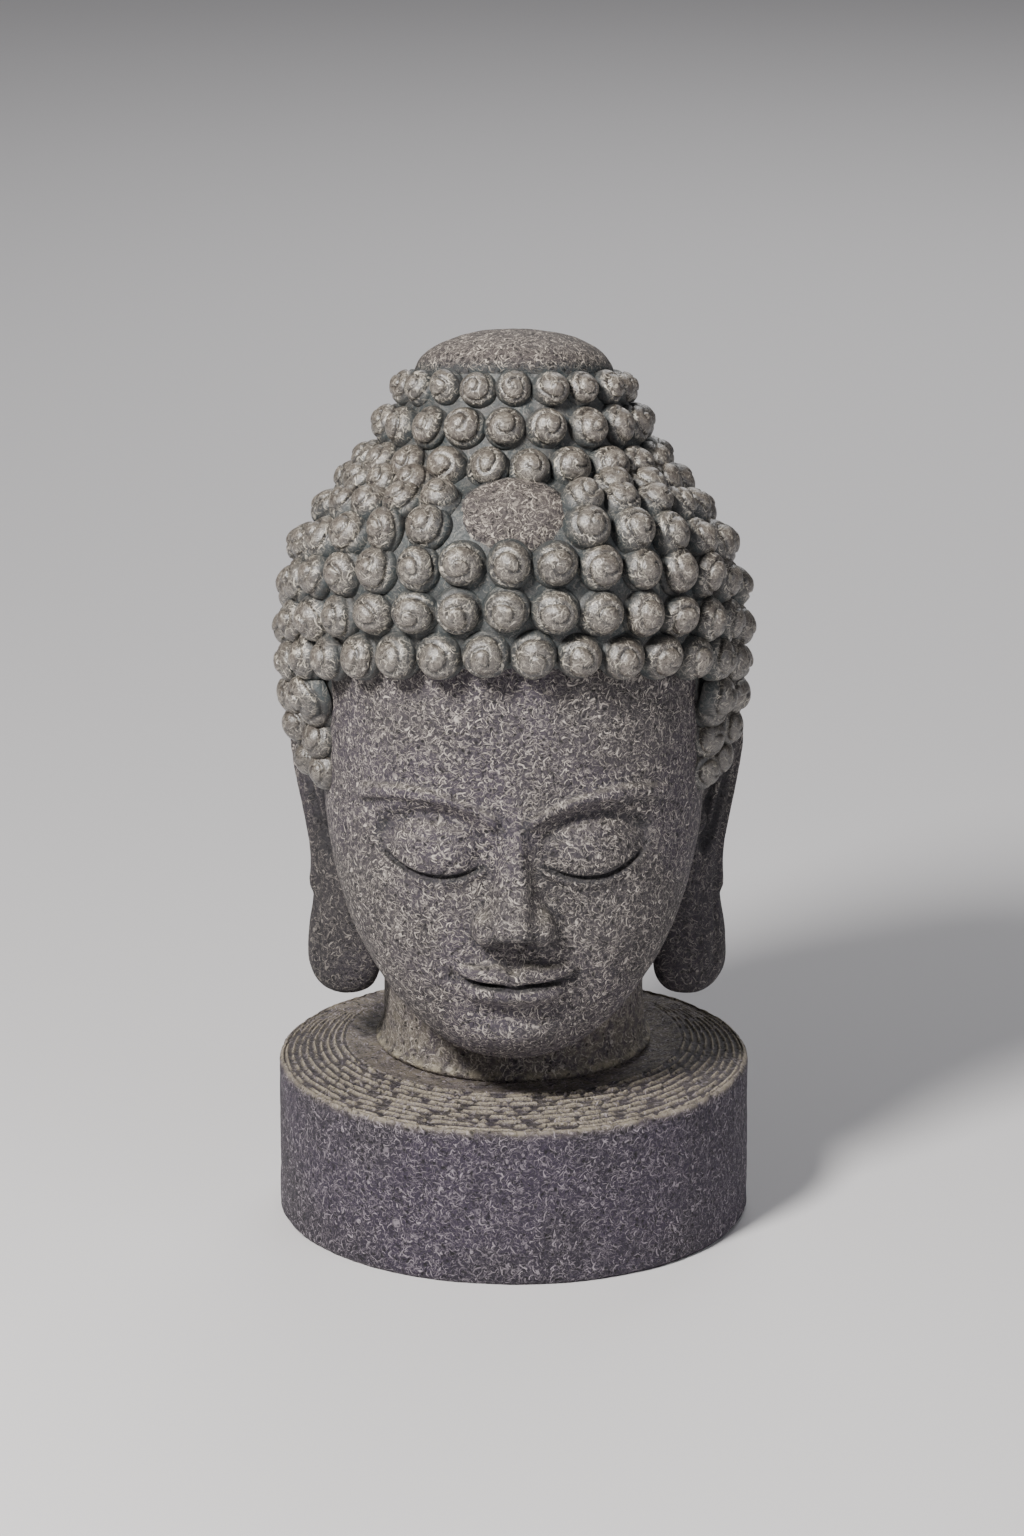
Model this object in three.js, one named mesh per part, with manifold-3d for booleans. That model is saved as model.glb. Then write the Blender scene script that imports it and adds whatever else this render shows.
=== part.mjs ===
// Carved stone head with snail-shell curls, long ears and a short neck, standing on a round
// stone plinth. Millimetres, +Z up, face towards -Y, +X on the right of someone facing it. The
// origin is the centre of the plinth's underside.
import * as THREE from 'three';
import { mergeVertices } from 'three/addons/utils/BufferGeometryUtils.js';
import Module from 'manifold-3d';

const wasm = await Module();
wasm.setup();

// ---- driving dimensions ----------------------------------------------------------------

const PLINTH_RADIUS = 51.5;
const PLINTH_HEIGHT = 35;
const PLINTH_RIM = 1.8;
const PLINTH_FOOT = 0.8;
const PLINTH_SIDES = 44;

const NECK_RADIUS = 28.4;
const NECK_FOOT_FLARE = 1.1;
const NECK_AXIS_Y = 12.2;
const NECK_LEAN = -4;
const NECK_SIDES = 30;
const NECK_LEVELS = 6;

// The face is laid out by the classical canon: three equal thirds from hairline to chin, and
// a width of five eyes.
const HAIRLINE_Z = 134;
const CHIN_Z = 46;
const FACE_HALF_WIDTH = 40;
const FACE_THIRD = (HAIRLINE_Z - CHIN_Z) / 3;
const BROW_Z = HAIRLINE_Z - FACE_THIRD;
const NOSE_BASE_Z = BROW_Z - FACE_THIRD;
const EYE_WIDTH = (2 * FACE_HALF_WIDTH) / 5;
const EYE_Z = BROW_Z - FACE_THIRD / 3;
const MOUTH_Z = NOSE_BASE_Z - FACE_THIRD / 3;
const CHEEK_Z = 106;

const FACE_FRONT = 43.5;
const SKULL_BACK = 42;
const SKULL_TOP_Z = HAIRLINE_Z + 6;
const CROWN_TUCK = 6;
const FOREHEAD_SETBACK = 1.6;
const CHIN_POINT_Y = -27;
const JAW_RISE = 0.29;
const SKULL_COLUMNS = 38;
const CARVED_LEVELS = 22;
const PLAIN_LEVELS = 3;

// Hair: the envelope carries the centres of the curls. Each control point holds the radius,
// the height on the axis and the slope of the row, higher in front than behind.
const HAIR_AXIS_Y = 1;
const HAIR_ENVELOPE = [
  new THREE.Vector3(37.5, 77, 0.3),
  new THREE.Vector3(43.0, 99, 0.3),
  new THREE.Vector3(46.8, 124.3, 0.32),
  new THREE.Vector3(46.4, 140.2, 0.4),
  new THREE.Vector3(40.6, 155, 0.36),
  new THREE.Vector3(30.6, 168, 0.21),
  new THREE.Vector3(26.4, 176.6, 0.23),
  new THREE.Vector3(21.6, 187.6, 0.26),
];
const ROWS_BELOW_HAIRLINE = 5;
const ROWS_ABOVE_HAIRLINE = 9;
const CURL_PITCH_LOW = 9.8;
const CURL_PITCH_TOP = 7.7;
const CURL_PLUMPNESS = 0.53;
// Heights on and between curls, as shares of a curl's height, and the valley's in millimetres.
const BROW = 0.72;
const NOTCH = -0.05;
const VALLEY = -0.7;
const TEMPLE_ANGLE = THREE.MathUtils.degToRad(62);
const BEHIND_EAR_ANGLE = THREE.MathUtils.degToRad(108);
const EAR_COVER_Z = 113;
const HAIR_HEM_Z = 121.5;
const SIDE_LOCK_CURLS = 5;
const SIDE_LOCK_RADIUS = 5;
const CAP_HEIGHT = 10.2;
const CAP_SIDES = 24;
const CAP_STEPS = 4;
const LOWEST_ROW = 0.055;
const HIGHEST_ROW = 0.968;

const BOSS_HALF_WIDTH = 11.6;
const BOSS_HALF_LENGTH = 9.4;
const BOSS_HEIGHT = 4.6;
const BOSS_Y = -37.5;
const BOSS_Z = 166.5;

const EAR_TOP_Z = 113;
const EAR_STRAP_Z = 77;
const EAR_BOTTOM_Z = 49;
const CONCHA_Z = 93;
const EAR_UNEVENNESS = 0.7;

// ---- small helpers ---------------------------------------------------------------------

const { clamp, lerp, smoothstep } = THREE.MathUtils;

const bell = (value, centre, width) => Math.exp(-(((value - centre) / width) ** 2));

// Rises from 0 to 1 like the side of a superellipse.
const swell = (t, power, root) => (1 - (1 - clamp(t, 0, 1)) ** power) ** (1 / root);

// Sews a stack of rings into one closed body. Each ring is a list of { angle, point } with
// the angle rising anticlockwise seen from above, and the ends close on their own middles.
// Neighbouring rings may share points.
function skin(rings) {
  const points = [...new Set(rings.flatMap((ring) => ring.map(({ point }) => point)))];
  const indexOf = new Map(points.map((point, index) => [point, index]));
  const triangles = [];
  const add = (a, b, c) => {
    const corners = [a, b, c].map((point) => indexOf.get(point));
    if (new Set(corners).size === 3) triangles.push(...corners);
  };
  const pointOf = (ring, step) => ring[step % ring.length].point;
  const angleOf = (ring, step) => ring[step % ring.length].angle + (step >= ring.length ? 2 * Math.PI : 0);

  rings.slice(1).forEach((upper, level) => {
    const lower = rings[level];
    let i = 0;
    let j = 0;
    while (i < lower.length || j < upper.length) {
      const lowerIsNext = j >= upper.length || angleOf(lower, i + 1) <= angleOf(upper, j + 1) + 1e-9;
      if (i < lower.length && lowerIsNext) {
        add(pointOf(lower, i), pointOf(lower, i + 1), pointOf(upper, j));
        i += 1;
      } else {
        add(pointOf(lower, i), pointOf(upper, j + 1), pointOf(upper, j));
        j += 1;
      }
    }
  });

  [rings[0], rings[rings.length - 1]].forEach((ring, end) => {
    const middle = new THREE.Vector3();
    ring.forEach(({ point }) => middle.addScaledVector(point, 1 / ring.length));
    indexOf.set(middle, points.push(middle) - 1);
    ring.forEach(({ point }, i) => {
      const next = pointOf(ring, i + 1);
      if (end === 0) add(next, point, middle);
      else add(point, next, middle);
    });
  });
  return solid(points.flatMap((point) => point.toArray()), triangles);
}

function solid(vertices, triangles) {
  return new wasm.Manifold(new wasm.Mesh({
    numProp: 3,
    vertProperties: new Float32Array(vertices),
    triVerts: new Uint32Array(triangles),
  }));
}

function solidFromGeometry(geometry) {
  const bare = geometry.index ? geometry.toNonIndexed() : geometry.clone();
  bare.deleteAttribute('normal');
  bare.deleteAttribute('uv');
  const merged = mergeVertices(bare, 1e-4);
  return solid(merged.attributes.position.array, merged.index.array);
}

function geometryFromSolid(body) {
  const mesh = body.getMesh();
  const geometry = new THREE.BufferGeometry();
  geometry.setAttribute('position', new THREE.BufferAttribute(new Float32Array(mesh.vertProperties), 3));
  geometry.setIndex(new THREE.BufferAttribute(new Uint32Array(mesh.triVerts), 1));
  geometry.computeVertexNormals();
  return geometry;
}

const ringOf = (count, pointAt) => Array.from({ length: count }, (_, i) => {
  const angle = (2 * Math.PI * i) / count;
  return { angle, point: pointAt(angle) };
});

// ---- face ------------------------------------------------------------------------------

// How far the carving stands forward of the plain egg, at a place on the front.
function faceRelief(x, z) {
  const side = Math.abs(x);
  const bridge = clamp((BROW_Z - 2 - z) / (BROW_Z - 2 - NOSE_BASE_Z), 0, 1);
  const underNose = smoothstep(z, NOSE_BASE_Z - 3.5, NOSE_BASE_Z + 1.5);
  const noseWidth = lerp(3.4, 5.6, bridge ** 1.5);
  const nose = z < BROW_Z + 4
    ? lerp(2.5, 12, bridge ** 1.15) * Math.exp(-((side / noseWidth) ** 2.4)) * underNose
    : 2.5 * bell(z, BROW_Z + 4, 5) * bell(side, 0, 4);
  const wings = 4.2 * bell(side, EYE_WIDTH * 0.42, 3) * bell(z, NOSE_BASE_Z + 4, 4);

  const browLine = BROW_Z - 4 + 6 * Math.sin(clamp((side - 3) / 30, 0, 1) * Math.PI * 0.78);
  const brow = 1.7 * bell(z, browLine, 2.4) * smoothstep(side, 2, 8) * (1 - smoothstep(side, 27, 34));
  const socket = -4.8 * bell(side, EYE_WIDTH * 0.98, 10) * bell(z, EYE_Z + 0.5, 8.5);
  const ball = 1 - ((side - EYE_WIDTH) / (EYE_WIDTH * 0.68)) ** 2 - ((z - EYE_Z) / 8) ** 2;
  const lid = 5.4 * Math.sqrt(Math.max(0, ball));

  const mouthHalf = EYE_WIDTH * 0.8;
  const along = clamp(1 - (side / mouthHalf) ** 2, 0, 1);
  const lipLine = MOUTH_Z + 1.2 * (side / mouthHalf) ** 2;
  const upperLip = 3.4 * along ** 0.7 * bell(z, lipLine + 2.4, 2.6);
  const lowerLip = 3.8 * along ** 0.9 * bell(z, lipLine - 3, 3);
  const crease = -1.2 * along * bell(z, lipLine, 1.2);
  const muzzle = 2.4 * bell(side, 0, 17) * bell(z, MOUTH_Z + 2, 12);
  const chin = 3.6 * bell(side, 0, 11) * bell(z, CHIN_Z + 7, 7);
  const cheek = 1.8 * bell(side, 24, 10) * bell(z, NOSE_BASE_Z + 6, 13);
  return Math.max(nose, wings) + brow + socket + lid + upperLip + lowerLip + crease + muzzle + chin + cheek;
}

// The bare head under the hair, from the chin up: rings that rise towards the nape at the
// jaw and lie level from the cheekbones up.
function makeSkull() {
  const crowd = (turn) => Math.PI * (0.42 * turn + 0.58 * turn ** 3);
  const aboveBrow = BROW_Z + 6;
  const rings = Array.from({ length: CARVED_LEVELS + PLAIN_LEVELS }, (_, level) => {
    const height = level < CARVED_LEVELS
      ? lerp(CHIN_Z, aboveBrow, (level / CARVED_LEVELS) ** 1.1)
      : lerp(aboveBrow, SKULL_TOP_Z, (level - CARVED_LEVELS) / (PLAIN_LEVELS - 1));
    const t = (height - CHIN_Z) / (CHEEK_Z - CHIN_Z);
    const halfWidth = (FACE_HALF_WIDTH + 1.2) * swell(t + 0.02, 2.4, 2.5);
    const front = CHIN_POINT_Y - (FACE_FRONT + CHIN_POINT_Y) * swell(t + 0.03, 3, 2.5);
    const tuck = CROWN_TUCK * smoothstep(height, aboveBrow, SKULL_TOP_Z);
    const back = CHIN_POINT_Y + (SKULL_BACK - CHIN_POINT_Y) * swell(t + 0.02, 2, 1.6) - tuck;
    const forehead = FOREHEAD_SETBACK * smoothstep(height, BROW_Z, SKULL_TOP_Z) ** 1.5;
    const rise = JAW_RISE * (1 - clamp(t, 0, 1));
    return Array.from({ length: SKULL_COLUMNS }, (__, column) => {
      const turn = (2 * column) / SKULL_COLUMNS - 1;
      const angle = crowd(turn);
      const sine = Math.sin(angle);
      const cosine = Math.cos(angle);
      const x = halfWidth * Math.sign(sine) * Math.abs(sine) ** 0.86;
      const reach = Math.abs(cosine) ** 0.9;
      const middle = lerp(front, back, 0.5);
      const plainY = cosine > 0 ? middle - (middle - front - forehead) * reach : middle + (back - middle) * reach;
      const facing = smoothstep(cosine, 0.12, 0.5);
      const y = plainY - facing * faceRelief(x, height);
      return { angle, point: new THREE.Vector3(x, y, height + rise * (plainY - front)) };
    });
  });
  return skin(rings);
}

function makeNeck() {
  const top = CHIN_Z + 40;
  const rings = Array.from({ length: NECK_LEVELS }, (_, level) => {
    const z = lerp(PLINTH_HEIGHT, top, (level / (NECK_LEVELS - 1)) ** 1.8);
    const radius = NECK_RADIUS + NECK_FOOT_FLARE * bell(z, PLINTH_HEIGHT, 3.5);
    const middle = NECK_AXIS_Y + NECK_LEAN * smoothstep(z, PLINTH_HEIGHT + 4, top);
    return ringOf(NECK_SIDES, (angle) => new THREE.Vector3(
      radius * Math.sin(angle),
      middle - radius * Math.cos(angle),
      z,
    ));
  });
  return skin(rings);
}

// ---- hair ------------------------------------------------------------------------------

const hairEnvelope = new THREE.CatmullRomCurve3(HAIR_ENVELOPE, false, 'centripetal');

const wrap = (angle) => Math.atan2(Math.sin(angle), Math.cos(angle));

// True where the skin shows below the hair: the face in front, and the ears lower down.
function isBare(height, angle) {
  const turn = Math.abs(wrap(angle));
  return height < HAIR_HEM_Z && turn < (height < EAR_COVER_Z ? BEHIND_EAR_ANGLE : TEMPLE_ANGLE);
}

// A point on the envelope: along is 0 at the nape and 1 at the foot of the cap.
function hairSurface(along, angle) {
  const { x: fullRadius, y: height, z: slope } = hairEnvelope.getPointAt(clamp(along, 0, 1));
  const radius = fullRadius * (isBare(height, angle) ? 0.6 : 1);
  return new THREE.Vector3(
    radius * Math.sin(angle),
    HAIR_AXIS_Y - radius * Math.cos(angle),
    height + slope * fullRadius * Math.cos(angle),
  );
}

function hairNormal(along, angle) {
  const step = 0.002;
  const up = hairSurface(along + step, angle).sub(hairSurface(along - step, angle));
  const round = hairSurface(along, angle + step).sub(hairSurface(along, angle - step));
  return round.cross(up).normalize();
}

const hairPoint = (along, angle, raise) => (
  hairSurface(along, angle).addScaledVector(hairNormal(along, angle), raise)
);

// Curls are left out on bare skin and where the boss sits.
function isCurl(along, angle) {
  const { y: height } = hairEnvelope.getPointAt(along);
  const turn = Math.abs(wrap(angle));
  const onBoss = Math.abs(height - 157) < 9 && turn < 0.27;
  const underBoss = Math.abs(height - 164) < 4 && turn < 0.62;
  return !onBoss && !underBoss && !isBare(height, angle);
}

function hairRows() {
  const count = ROWS_BELOW_HAIRLINE + ROWS_ABOVE_HAIRLINE;
  return Array.from({ length: count }, (_, row) => {
    const along = lerp(LOWEST_ROW, HIGHEST_ROW, row / (count - 1));
    const { x: radius, y: height } = hairEnvelope.getPointAt(along);
    const pitch = lerp(CURL_PITCH_LOW, CURL_PITCH_TOP, smoothstep(height, 140, 190));
    const curls = Math.round((2 * Math.PI * radius) / pitch);
    const plump = CURL_PLUMPNESS * ((2 * Math.PI * radius) / curls);
    return { along, curls, plump, stagger: row % 2 ? 0.5 : 0 };
  });
}

// The rings of one row of curls. Each curl is a faceted dome: a crown, four points on its
// brow round the crown, and a deep notch on either side that it shares with its neighbours.
function curlRings(row, shoulder) {
  const pitch = (2 * Math.PI) / row.curls;
  const lower = [];
  const middle = [];
  const upper = [];
  for (let curl = 0; curl < row.curls; curl += 1) {
    const turn = (curl + row.stagger) * pitch;
    const height = isCurl(row.along, turn) ? row.plump : 0;
    const mark = (aside, rise, raise) => ({
      angle: turn + aside * pitch,
      point: hairPoint(row.along + rise * shoulder, turn + aside * pitch, raise * height),
    });
    const notch = mark(0.5, 0, NOTCH);
    lower.push(mark(0, -1, BROW), notch);
    middle.push(mark(-0.3, 0, BROW), mark(0, 0, 1), mark(0.3, 0, BROW), notch);
    upper.push(mark(0, 1, BROW), notch);
  }
  return [lower, middle, upper];
}

// The valley above or below a row, with a point by every curl and every notch.
function valleyRing(row, along) {
  return Array.from({ length: 2 * row.curls }, (_, i) => {
    const angle = ((i / 2 + row.stagger) * 2 * Math.PI) / row.curls;
    return { angle, point: hairPoint(along, angle, VALLEY) };
  });
}

function makeHair() {
  const rows = hairRows();
  const rowStep = rows[1].along - rows[0].along;
  const rings = [valleyRing(rows[0], rows[0].along - 0.5 * rowStep)];
  rows.forEach((row) => {
    rings.push(...curlRings(row, 0.3 * rowStep));
    rings.push(valleyRing(row, row.along + 0.5 * rowStep));
  });
  const foot = hairEnvelope.getPointAt(1);
  for (let step = 0; step < CAP_STEPS; step += 1) {
    const lift = (step / CAP_STEPS) * (Math.PI / 2);
    const radius = foot.x * Math.cos(lift);
    rings.push(ringOf(CAP_SIDES, (angle) => new THREE.Vector3(
      radius * Math.sin(angle),
      HAIR_AXIS_Y - radius * Math.cos(angle),
      foot.y + CAP_HEIGHT * Math.sin(lift) + foot.z * radius * Math.cos(angle),
    )));
  }
  return skin(rings);
}

// Curls that come down before the ear on each side.
function makeSideLocks() {
  return [-1, 1].flatMap((side) => Array.from({ length: SIDE_LOCK_CURLS }, (_, curl) => {
    const ball = new THREE.IcosahedronGeometry(SIDE_LOCK_RADIUS);
    const drop = curl / (SIDE_LOCK_CURLS - 1);
    const inner = curl % 2;
    const outward = lerp(44.2, 39.6, drop ** 1.3) - 2.6 * inner;
    ball.translate(side * outward, -7 - 7 * inner, lerp(118.5, 98, drop));
    return solidFromGeometry(ball);
  }));
}

// The smooth oval mound above the forehead.
function makeBoss() {
  const mound = new THREE.SphereGeometry(1, 16, 8);
  mound.scale(BOSS_HALF_WIDTH, BOSS_HALF_LENGTH, BOSS_HEIGHT);
  mound.rotateX(THREE.MathUtils.degToRad(47));
  mound.translate(0, BOSS_Y, BOSS_Z);
  return solidFromGeometry(mound);
}

// ---- ears ------------------------------------------------------------------------------

function makeEar(side) {
  const levels = 13;
  const corners = 12;
  const rings = Array.from({ length: levels }, (_, level) => {
    const z = lerp(EAR_BOTTOM_Z, EAR_TOP_Z, level / (levels - 1));
    const lobe = 1 - smoothstep(z, EAR_BOTTOM_Z + 9, EAR_STRAP_Z);
    const shell = smoothstep(z, EAR_STRAP_Z, EAR_TOP_Z - 6);
    const ends = swell((z - EAR_BOTTOM_Z + 0.8) / 8, 2, 2.6) * swell((EAR_TOP_Z + 0.6 - z) / 13, 2, 2);
    const chord = (6.4 + 2.3 * lobe + 4.8 * shell) * ends;
    const thickness = (3.3 + 1.1 * lobe) * ends ** 0.7;
    const splay = THREE.MathUtils.degToRad(40 + 22 * lobe - 16 * shell);
    const middleX = 38.9 - 1.2 * lobe + 4 * shell + side * EAR_UNEVENNESS;
    const middleY = 4 - 1.5 * lobe + 2 * shell;
    return ringOf(corners, (angle) => {
      const across = thickness * Math.sin(angle);
      const lengthwise = -chord * Math.cos(angle);
      return new THREE.Vector3(
        side * (middleX + across * Math.cos(splay) + lengthwise * Math.sin(splay)),
        middleY - across * Math.sin(splay) + lengthwise * Math.cos(splay),
        z,
      );
    });
  });
  const body = side > 0 ? skin(rings) : skin(rings.map(mirrorRing));
  return body.subtract(makeConcha(side));
}

// Restores the anticlockwise order of a ring that was reflected in X.
function mirrorRing(ring) {
  const [first, ...rest] = ring;
  return [first, ...rest.reverse()].map(({ point }, i) => ({ angle: ring[i].angle, point }));
}

// A closed geometry reflected in X, its faces turned to point outward again.
function mirrored(geometry) {
  const bare = geometry.index ? geometry.toNonIndexed() : geometry.clone();
  const places = bare.attributes.position;
  for (let corner = 0; corner < places.count; corner += 3) {
    const second = new THREE.Vector3().fromBufferAttribute(places, corner + 1);
    const third = new THREE.Vector3().fromBufferAttribute(places, corner + 2);
    places.setXYZ(corner + 1, third.x, third.y, third.z);
    places.setXYZ(corner + 2, second.x, second.y, second.z);
  }
  bare.scale(-1, 1, 1);
  return solidFromGeometry(bare);
}

// The hollow of the ear.
function makeConcha(side) {
  const hollow = new THREE.SphereGeometry(1, 10, 8);
  hollow.scale(2.6, 6.4, 14);
  hollow.rotateZ(THREE.MathUtils.degToRad(-24));
  hollow.translate(46.6, 2.5, CONCHA_Z);
  return side > 0 ? solidFromGeometry(hollow) : mirrored(hollow);
}

// ---- plinth ----------------------------------------------------------------------------

function makePlinth() {
  const profile = new THREE.Path();
  profile.moveTo(0, 0);
  profile.lineTo(PLINTH_RADIUS - PLINTH_FOOT, 0);
  profile.lineTo(PLINTH_RADIUS, PLINTH_FOOT);
  profile.lineTo(PLINTH_RADIUS, PLINTH_HEIGHT - PLINTH_RIM);
  profile.absarc(PLINTH_RADIUS - PLINTH_RIM, PLINTH_HEIGHT - PLINTH_RIM, PLINTH_RIM, 0, Math.PI / 2);
  profile.lineTo(0, PLINTH_HEIGHT);
  const drum = new THREE.LatheGeometry(profile.getPoints(2), PLINTH_SIDES);
  drum.rotateX(Math.PI / 2);
  return solidFromGeometry(drum);
}

// ---- assembly --------------------------------------------------------------------------

const stone = (name, colour) => {
  const material = new THREE.MeshStandardMaterial({ color: colour, roughness: 0.85, metalness: 0 });
  material.name = name;
  return material;
};

const object = new THREE.Group();

function addPiece(name, body, material) {
  const mesh = new THREE.Mesh(geometryFromSolid(body), material);
  mesh.name = name;
  object.add(mesh);
}

const parts = [makeSkull(), makeNeck(), makeHair(), ...makeSideLocks(), makeBoss(), makeEar(-1), makeEar(1)];
const head = parts.reduce((whole, part) => whole.add(part));
addPiece('head', head, stone('carved stone', 0x6f6a6d));
addPiece('plinth', makePlinth(), stone('plinth stone', 0x5c5661));

export default object;
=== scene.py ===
import math

import bpy
import numpy as np
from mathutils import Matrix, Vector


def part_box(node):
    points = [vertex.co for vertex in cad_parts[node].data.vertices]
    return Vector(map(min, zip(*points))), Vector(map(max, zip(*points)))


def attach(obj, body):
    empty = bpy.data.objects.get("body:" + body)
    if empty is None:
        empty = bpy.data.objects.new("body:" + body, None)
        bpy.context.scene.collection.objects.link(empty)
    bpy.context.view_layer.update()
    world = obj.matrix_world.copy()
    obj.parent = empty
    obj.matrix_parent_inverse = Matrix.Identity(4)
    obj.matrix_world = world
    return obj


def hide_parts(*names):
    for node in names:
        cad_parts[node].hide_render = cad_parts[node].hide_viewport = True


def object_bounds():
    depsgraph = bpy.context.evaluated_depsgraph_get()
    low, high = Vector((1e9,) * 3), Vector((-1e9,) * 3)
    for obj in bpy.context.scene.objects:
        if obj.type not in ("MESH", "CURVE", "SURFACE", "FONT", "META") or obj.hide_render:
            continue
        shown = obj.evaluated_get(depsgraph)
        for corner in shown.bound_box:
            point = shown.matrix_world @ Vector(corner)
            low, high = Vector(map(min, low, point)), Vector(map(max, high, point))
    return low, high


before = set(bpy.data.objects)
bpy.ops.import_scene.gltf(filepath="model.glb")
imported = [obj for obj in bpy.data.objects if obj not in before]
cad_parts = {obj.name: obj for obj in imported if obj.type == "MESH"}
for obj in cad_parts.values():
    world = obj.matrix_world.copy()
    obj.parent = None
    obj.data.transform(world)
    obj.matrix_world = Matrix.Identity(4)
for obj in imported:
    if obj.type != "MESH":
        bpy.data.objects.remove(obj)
cad_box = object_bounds()

# Carved stone head on a round stone plinth. Sizes are millimetres, with the face towards -Y, and
# become metres where a mesh is made.
MM = 0.001
_, plinth_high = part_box("plinth")

# ---- main sizes, the same as the solids' or close to them ------------------------------------

PLINTH_RADIUS = plinth_high.x / MM
PLINTH_TOP = plinth_high.z / MM
PLINTH_RIM = 1.1

NECK_RADIUS = 28.4
NECK_FOOT_FLARE = 1.1
NECK_AXIS_Y = 12.2
NECK_LEAN = -4.0

HAIRLINE_Z = 134.0
CHIN_Z = 46.0
FACE_HALF_WIDTH = 40.0
FACE_THIRD = (HAIRLINE_Z - CHIN_Z) / 3
BROW_Z = HAIRLINE_Z - FACE_THIRD
NOSE_BASE_Z = BROW_Z - FACE_THIRD
EYE_WIDTH = 2 * FACE_HALF_WIDTH / 5
EYE_Z = BROW_Z - FACE_THIRD / 3
MOUTH_Z = NOSE_BASE_Z - FACE_THIRD / 3
MOUTH_HALF = 0.8 * EYE_WIDTH
CHEEK_Z = 106.0
FACE_FRONT = 43.5
SKULL_BACK = 42.0
SKULL_TOP_Z = HAIRLINE_Z + 6
CROWN_TUCK = 6.0
CHIN_POINT_Y = -27.0
JAW_RISE = 0.29

HAIR_AXIS_Y = 1.0
# Radius of the hair, height on its axis, and slope of the row, higher in front than behind.
HAIR_ENVELOPE = np.array([
    (37.5, 77.0, 0.30),
    (43.0, 99.0, 0.30),
    (46.8, 124.3, 0.32),
    (46.4, 140.2, 0.40),
    (40.6, 155.0, 0.36),
    (30.6, 168.0, 0.21),
    (26.4, 176.6, 0.23),
    (21.6, 187.6, 0.26),
])
CURL_PLUMPNESS = 0.505
CURL_TALLNESS = 0.955
CURL_TALLER_IN_FRONT = 0.12
TEMPLE_ANGLE = math.radians(62)
BEHIND_EAR_ANGLE = math.radians(108)
EAR_COVER_Z = 113.0
HAIR_HEM_Z = 121.5
CAP_HEIGHT = 10.2

BOSS_HALF_WIDTH = 12.4
BOSS_HALF_LENGTH = 9.5
BOSS_HEIGHT = 4.1
BOSS_TILT = math.radians(47)
BOSS_Y = -37.5
BOSS_Z = 166.5

EAR_TOP_Z = 113.0
EAR_STRAP_Z = 77.0
EAR_BOTTOM_Z = 49.0
CONCHA_Z = 93.0
EAR_UNEVENNESS = 0.7

# ---- arithmetic ------------------------------------------------------------------------------


def lerp(a, b, t):
    return a + (b - a) * t


def smoothstep(value, low, high):
    t = np.clip((value - low) / (high - low), 0, 1)
    return t * t * (3 - 2 * t)


def bell(value, centre, width):
    return np.exp(-(((value - centre) / width) ** 2))


def swell(t, power, root):
    return (1 - (1 - np.clip(t, 0, 1)) ** power) ** (1 / root)


def smooth_min(a, b, k):
    h = np.clip(0.5 + 0.5 * (b - a) / k, 0, 1)
    return b + (a - b) * h - k * h * (1 - h)


def smooth_max(a, b, k):
    return -smooth_min(-a, -b, k)


def distance(a, b, c):
    return np.sqrt(a**2 + b**2 + c**2)


def stack(*parts):
    return np.stack(np.broadcast_arrays(*parts), -1)


def noise(points, size, seed):
    """Smooth noise from -1 to 1 with lumps of the given size, at an array of points."""
    table = np.random.default_rng(seed).uniform(-1, 1, (32, 32, 32)).astype(np.float32)
    scaled = points / size + 640
    cell = np.floor(scaled).astype(int)
    part = scaled - cell
    part = part * part * (3 - 2 * part)
    total = 0
    for corner in range(8):
        offset = np.array([corner & 1, corner >> 1 & 1, corner >> 2])
        index = (cell + offset) % 32
        weight = np.prod(np.where(offset, part, 1 - part), axis=-1)
        total = total + weight * table[index[..., 0], index[..., 1], index[..., 2]]
    return total


# ---- distance fields -------------------------------------------------------------------------


def ellipsoid(x, y, z, centre, radii):
    """Near enough the distance to an ellipsoid, negative inside."""
    dx, dy, dz = x - centre[0], y - centre[1], z - centre[2]
    a, b, c = radii
    near = distance(dx / a, dy / b, dz / c)
    steep = distance(dx / a**2, dy / b**2, dz / c**2) + 1e-6
    return near * (near - 1) / steep


def egg(x, y, z):
    """The plain head without features: level ovals that rise towards the nape at the jaw."""
    t = (z - CHIN_Z) / (CHEEK_Z - CHIN_Z)
    for _ in range(3):
        front = CHIN_POINT_Y - (FACE_FRONT + CHIN_POINT_Y) * swell(t + 0.03, 3, 2.5)
        rise = JAW_RISE * (1 - np.clip(t, 0, 1)) * (y - front)
        t = (z - rise - CHIN_Z) / (CHEEK_Z - CHIN_Z)
    half_width = np.maximum((FACE_HALF_WIDTH + 1.2) * swell(t + 0.02, 2.4, 2.5), 0.5)
    tuck = CROWN_TUCK * smoothstep(z, BROW_Z + 6, SKULL_TOP_Z)
    back = CHIN_POINT_Y + (SKULL_BACK - CHIN_POINT_Y) * swell(t + 0.02, 2, 1.6) - tuck
    forehead = 1.6 * smoothstep(z, BROW_Z, SKULL_TOP_Z) ** 1.5
    middle = 0.5 * (front + back)
    dy = y - middle
    depth = np.maximum(np.where(dy < 0, middle - front - forehead, back - middle), 0.5)
    share = (np.abs(x) / half_width) ** 2.33 + (np.abs(dy) / depth) ** 2.22 + 1e-6
    reach = np.hypot(x, dy)
    around = reach - reach / share ** 0.44
    return smooth_max(around, -t * (CHEEK_Z - CHIN_Z), 3)


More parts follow.
